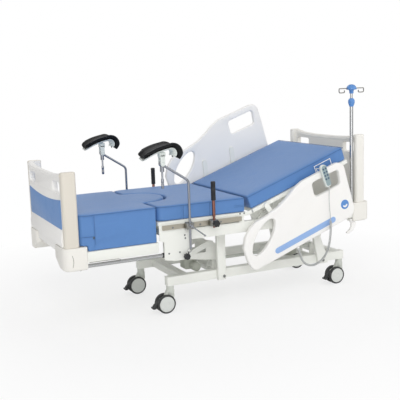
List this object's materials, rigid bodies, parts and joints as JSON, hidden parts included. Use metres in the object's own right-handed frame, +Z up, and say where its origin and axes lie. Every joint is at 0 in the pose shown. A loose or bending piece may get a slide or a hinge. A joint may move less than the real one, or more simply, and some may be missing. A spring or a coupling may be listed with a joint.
{
  "type": "delivery bed",
  "caption": "Electric delivery bed on casters: raised back section, pull-out foot section, swing-down side rails, leg supports, hand grips, infusion pole and hand control.",
  "frame": {"origin": "on the floor, under the middle of the bed's outer box", "axes": "+X towards the head end, -Y the near side with the hand control, +Z up"},
  "size_m": [2.239, 1.084, 1.44],
  "materials": {
    "frame_paint": "satin ivory powder coat",
    "drive_plastic": "moulded grey, fine grain",
    "wheel_grey": "moulded grey wheel with dark tread",
    "pedal_plastic": "dark moulded",
    "steel_rod": "ground rod",
    "stainless": "brushed stainless",
    "black_plastic": "fine matt",
    "mattress_cover": "coated wipe-clean cover, welded seams",
    "chrome_tube": "polished",
    "ivory_plastic": "moulded, fine grain",
    "blue_plastic": "moulded, fine grain",
    "black_pad": "skinned foam pad",
    "clamp_metal": "cast, satin",
    "grip_rubber": "ribbed",
    "handset_plastic": "moulded light grey",
    "cord_sheath": "smooth sheath"
  },
  "bodies": {
    "base": {"base_frame": "frame_paint", "lift_drive": "drive_plastic"},
    "foot_arm": {"foot_lift_arm": "frame_paint"},
    "head_arm": {"head_lift_arm": "frame_paint"},
    "push_rod_body": {"push_rod": "steel_rod"},
    "tie_rod_body": {"tie_rod": "steel_rod"},
    "bed": {"main_frame": "frame_paint", "seat_frame": "frame_paint", "accessory_rails": "stainless", "slide_bushings": "black_plastic", "seat_mattress": "mattress_cover", "head_corner_covers": "ivory_plastic", "rail_clamps": "clamp_metal"},
    "foot_section": {"foot_carriage": "frame_paint", "slide_tubes": "chrome_tube", "foot_mattress": "mattress_cover", "foot_corner_covers": "ivory_plastic"},
    "foot_board_body": {"foot_board": "ivory_plastic"},
    "lock_knob": {"foot_lock_knob": "black_plastic"},
    "back": {"back_frame": "frame_paint", "back_mattress": "mattress_cover"},
    "near_rail": {"near_side_rail": "ivory_plastic", "handset_hanger": "stainless", "handset_cable": "cord_sheath", "handset_coil": "cord_sheath"},
    "far_rail": {"far_side_rail": "ivory_plastic"},
    "handset_body": {"handset": "handset_plastic"},
    "near_foot_link": {"near_foot_rail_link": "frame_paint"},
    "near_head_link": {"near_head_rail_link": "frame_paint"},
    "far_foot_link": {"far_foot_rail_link": "frame_paint"},
    "far_head_link": {"far_head_rail_link": "frame_paint"},
    "head_board_body": {"head_board": "ivory_plastic"},
    "pole": {"pole_tube": "stainless"},
    "mast": {"pole_mast": "stainless"},
    "pole_knob": {"pole_lock_knob": "blue_plastic"},
    "release": {"release_lever": "black_plastic"},
    "near_foot_fork": {"near_foot_caster_fork": "frame_paint"},
    "near_foot_wheels": {"near_foot_caster_wheels": "wheel_grey"},
    "near_foot_pedal": {"near_foot_caster_pedal": "pedal_plastic"},
    "far_foot_fork": {"far_foot_caster_fork": "frame_paint"},
    "far_foot_wheels": {"far_foot_caster_wheels": "wheel_grey"},
    "far_foot_pedal": {"far_foot_caster_pedal": "pedal_plastic"},
    "near_head_fork": {"near_head_caster_fork": "frame_paint"},
    "near_head_wheels": {"near_head_caster_wheels": "wheel_grey"},
    "near_head_pedal": {"near_head_caster_pedal": "pedal_plastic"},
    "far_head_fork": {"far_head_caster_fork": "frame_paint"},
    "far_head_wheels": {"far_head_caster_wheels": "wheel_grey"},
    "far_head_pedal": {"far_head_caster_pedal": "pedal_plastic"},
    "near_leg": {"near_leg_rod": "stainless"},
    "near_saddle": {"near_leg_saddle": "black_pad"},
    "near_tilt": {"near_tilt_lever": "black_plastic"},
    "near_clamp": {"near_clamp_lever": "clamp_metal"},
    "near_grip": {"near_hand_grip": "grip_rubber"},
    "near_knob": {"near_grip_knob": "black_plastic"},
    "far_leg": {"far_leg_rod": "stainless"},
    "far_saddle": {"far_leg_saddle": "black_pad"},
    "far_tilt": {"far_tilt_lever": "black_plastic"},
    "far_clamp": {"far_clamp_lever": "clamp_metal"},
    "far_grip": {"far_hand_grip": "grip_rubber"},
    "far_knob": {"far_grip_knob": "black_plastic"}
  },
  "joints": [
    {"name": "near_foot_swivel", "type": "hinge", "parent": "base", "child": "near_foot_fork", "pos_m": [-0.38, -0.265, 0.18], "axis": [0, 0, 1], "continuous": true},
    {"name": "near_foot_spin", "type": "hinge", "parent": "near_foot_fork", "child": "near_foot_wheels", "pos_m": [-0.418, -0.265, 0.0625], "axis": [0, 1, 0], "continuous": true},
    {"name": "near_foot_pedal_press", "type": "hinge", "parent": "near_foot_fork", "child": "near_foot_pedal", "pos_m": [-0.448, -0.265, 0.0915], "axis": [0, 1, 0], "range_deg": [-12, 0]},
    {"name": "far_foot_swivel", "type": "hinge", "parent": "base", "child": "far_foot_fork", "pos_m": [-0.38, 0.265, 0.18], "axis": [0, 0, 1], "continuous": true},
    {"name": "far_foot_spin", "type": "hinge", "parent": "far_foot_fork", "child": "far_foot_wheels", "pos_m": [-0.418, 0.265, 0.0625], "axis": [0, 1, 0], "continuous": true},
    {"name": "far_foot_pedal_press", "type": "hinge", "parent": "far_foot_fork", "child": "far_foot_pedal", "pos_m": [-0.448, 0.265, 0.0915], "axis": [0, 1, 0], "range_deg": [-12, 0]},
    {"name": "near_head_swivel", "type": "hinge", "parent": "base", "child": "near_head_fork", "pos_m": [0.97, -0.265, 0.18], "axis": [0, 0, 1], "continuous": true},
    {"name": "near_head_spin", "type": "hinge", "parent": "near_head_fork", "child": "near_head_wheels", "pos_m": [0.932, -0.265, 0.0625], "axis": [0, 1, 0], "continuous": true},
    {"name": "near_head_pedal_press", "type": "hinge", "parent": "near_head_fork", "child": "near_head_pedal", "pos_m": [0.902, -0.265, 0.0915], "axis": [0, 1, 0], "range_deg": [-12, 0]},
    {"name": "far_head_swivel", "type": "hinge", "parent": "base", "child": "far_head_fork", "pos_m": [0.97, 0.265, 0.18], "axis": [0, 0, 1], "continuous": true},
    {"name": "far_head_spin", "type": "hinge", "parent": "far_head_fork", "child": "far_head_wheels", "pos_m": [0.932, 0.265, 0.0625], "axis": [0, 1, 0], "continuous": true},
    {"name": "far_head_pedal_press", "type": "hinge", "parent": "far_head_fork", "child": "far_head_pedal", "pos_m": [0.902, 0.265, 0.0915], "axis": [0, 1, 0], "range_deg": [-12, 0]},
    {"name": "lift_swing", "type": "hinge", "parent": "base", "child": "foot_arm", "pos_m": [-0.006, 0, 0.2], "axis": [0, 1, 0], "range_deg": [-50, 5]},
    {"name": "bed_level", "type": "hinge", "parent": "foot_arm", "child": "bed", "pos_m": [-0.02379, 0, 0.53953], "axis": [0, 1, 0], "range_deg": [-5, 50]},
    {"name": "head_arm_swing", "type": "hinge", "parent": "base", "child": "head_arm", "pos_m": [0.794, 0, 0.2], "axis": [0, 1, 0], "range_deg": [-50, 5]},
    {"name": "tie_rod_turn", "type": "hinge", "parent": "foot_arm", "child": "tie_rod_body", "pos_m": [-0.01045, -0.16, 0.28488], "axis": [0, 1, 0], "range_deg": [-5, 50]},
    {"name": "push_rod_slide", "type": "slide", "parent": "base", "child": "push_rod_body", "axis": [1, 0, 0], "range_m": [-0.0766, 0.0086]},
    {"name": "foot_section_slide", "type": "slide", "parent": "bed", "child": "foot_section", "axis": [1, 0, 0], "range_m": [-0.45, 0]},
    {"name": "foot_board_lift", "type": "slide", "parent": "foot_section", "child": "foot_board_body", "axis": [0, 0, 1], "range_m": [0, 0.35]},
    {"name": "lock_knob_pull", "type": "slide", "parent": "bed", "child": "lock_knob", "axis": [0, -1, 0], "range_m": [0, 0.008], "stiffness_N_per_m": 400},
    {"name": "back_tilt", "type": "hinge", "parent": "bed", "child": "back", "pos_m": [0.118, 0, 0.741], "axis": [0, -1, 0], "range_deg": [-19.7, 50]},
    {"name": "near_foot_link_swing", "type": "hinge", "parent": "back", "child": "near_foot_link", "pos_m": [0.26221, -0.441, 0.67049], "axis": [0, -1, 0], "range_deg": [0, 150]},
    {"name": "near_rail_swing", "type": "hinge", "parent": "near_foot_link", "child": "near_rail", "pos_m": [0.3833, -0.46, 0.49562], "axis": [0, -1, 0], "range_deg": [-150, 0]},
    {"name": "near_head_link_swing", "type": "hinge", "parent": "back", "child": "near_head_link", "pos_m": [0.49758, -0.441, 0.75476], "axis": [0, -1, 0], "range_deg": [0, 150]},
    {"name": "far_foot_link_swing", "type": "hinge", "parent": "back", "child": "far_foot_link", "pos_m": [0.26221, 0.441, 0.67049], "axis": [0, -1, 0], "range_deg": [-150, 0]},
    {"name": "far_rail_swing", "type": "hinge", "parent": "far_foot_link", "child": "far_rail", "pos_m": [0.24478, 0.46, 0.88247], "axis": [0, -1, 0], "range_deg": [0, 150]},
    {"name": "far_head_link_swing", "type": "hinge", "parent": "back", "child": "far_head_link", "pos_m": [0.49758, 0.441, 0.75476], "axis": [0, -1, 0], "range_deg": [-150, 0]},
    {"name": "handset_lift_off", "type": "slide", "parent": "near_rail", "child": "handset_body", "axis": [0, -1, 0], "range_m": [0, 0.03]},
    {"name": "head_board_lift", "type": "slide", "parent": "bed", "child": "head_board_body", "axis": [0, 0, 1], "range_m": [0, 0.19]},
    {"name": "pole_lift", "type": "slide", "parent": "bed", "child": "pole", "axis": [0, 0, 1], "range_m": [0, 0.09]},
    {"name": "mast_slide", "type": "slide", "parent": "pole", "child": "mast", "axis": [0, 0, 1], "range_m": [-0.03, 0.15]},
    {"name": "pole_knob_turn", "type": "hinge", "parent": "pole", "child": "pole_knob", "pos_m": [0.984, -0.4, 1.316], "axis": [0, 0, 1], "range_deg": [0, 90]},
    {"name": "release_pull", "type": "hinge", "parent": "bed", "child": "release", "pos_m": [0.96, -0.419, 0.493], "axis": [0, 1, 0], "range_deg": [0, 20], "stiffness_Nm_per_rad": 2},
    {"name": "near_leg_turn", "type": "hinge", "parent": "bed", "child": "near_leg", "pos_m": [-0.312, -0.468, 0.6], "axis": [0, 0, 1], "range_deg": [-60, 60]},
    {"name": "near_saddle_tilt", "type": "hinge", "parent": "near_leg", "child": "near_saddle", "pos_m": [-0.486, -0.468, 1.008], "axis": [0, 1, 0], "range_deg": [-20, 15]},
    {"name": "near_tilt_lever_turn", "type": "hinge", "parent": "near_leg", "child": "near_tilt", "pos_m": [-0.486, -0.468, 0.9], "axis": [0, 0, 1], "range_deg": [-90, 90]},
    {"name": "near_clamp_lever_turn", "type": "hinge", "parent": "bed", "child": "near_clamp", "pos_m": [-0.31, -0.489, 0.604], "axis": [0, 1, 0], "range_deg": [-30, 30]},
    {"name": "near_grip_turn", "type": "hinge", "parent": "bed", "child": "near_grip", "pos_m": [-0.142, -0.468, 0.8], "axis": [0, 0, 1], "range_deg": [-90, 90]},
    {"name": "near_grip_knob_turn", "type": "hinge", "parent": "bed", "child": "near_knob", "pos_m": [-0.14, -0.497, 0.602], "axis": [0, 1, 0], "range_deg": [0, 270]},
    {"name": "far_leg_turn", "type": "hinge", "parent": "bed", "child": "far_leg", "pos_m": [-0.384, 0.468, 0.6], "axis": [0, 0, 1], "range_deg": [-60, 60]},
    {"name": "far_saddle_tilt", "type": "hinge", "parent": "far_leg", "child": "far_saddle", "pos_m": [-0.558, 0.468, 1.008], "axis": [0, 1, 0], "range_deg": [-20, 15]},
    {"name": "far_tilt_lever_turn", "type": "hinge", "parent": "far_leg", "child": "far_tilt", "pos_m": [-0.558, 0.468, 0.9], "axis": [0, 0, 1], "range_deg": [-90, 90]},
    {"name": "far_clamp_lever_turn", "type": "hinge", "parent": "bed", "child": "far_clamp", "pos_m": [-0.382, 0.489, 0.604], "axis": [0, 1, 0], "range_deg": [-30, 30]},
    {"name": "far_grip_turn", "type": "hinge", "parent": "bed", "child": "far_grip", "pos_m": [-0.172, 0.468, 0.8], "axis": [0, 0, 1], "range_deg": [-90, 90]},
    {"name": "far_grip_knob_turn", "type": "hinge", "parent": "bed", "child": "far_knob", "pos_m": [-0.17, 0.497, 0.602], "axis": [0, 1, 0], "range_deg": [0, 270]}
  ],
  "couplings": [
    {"joint": "bed_level", "follows": "lift_swing", "ratio": -1},
    {"joint": "head_arm_swing", "follows": "lift_swing", "ratio": 1},
    {"joint": "tie_rod_turn", "follows": "lift_swing", "ratio": -1},
    {"joint": "push_rod_slide", "follows": "lift_swing", "m_per_rad": 0.0866},
    {"joint": "near_rail_swing", "follows": "near_foot_link_swing", "ratio": -1},
    {"joint": "near_head_link_swing", "follows": "near_foot_link_swing", "ratio": 1},
    {"joint": "far_rail_swing", "follows": "far_foot_link_swing", "ratio": -1},
    {"joint": "far_head_link_swing", "follows": "far_foot_link_swing", "ratio": 1}
  ]
}
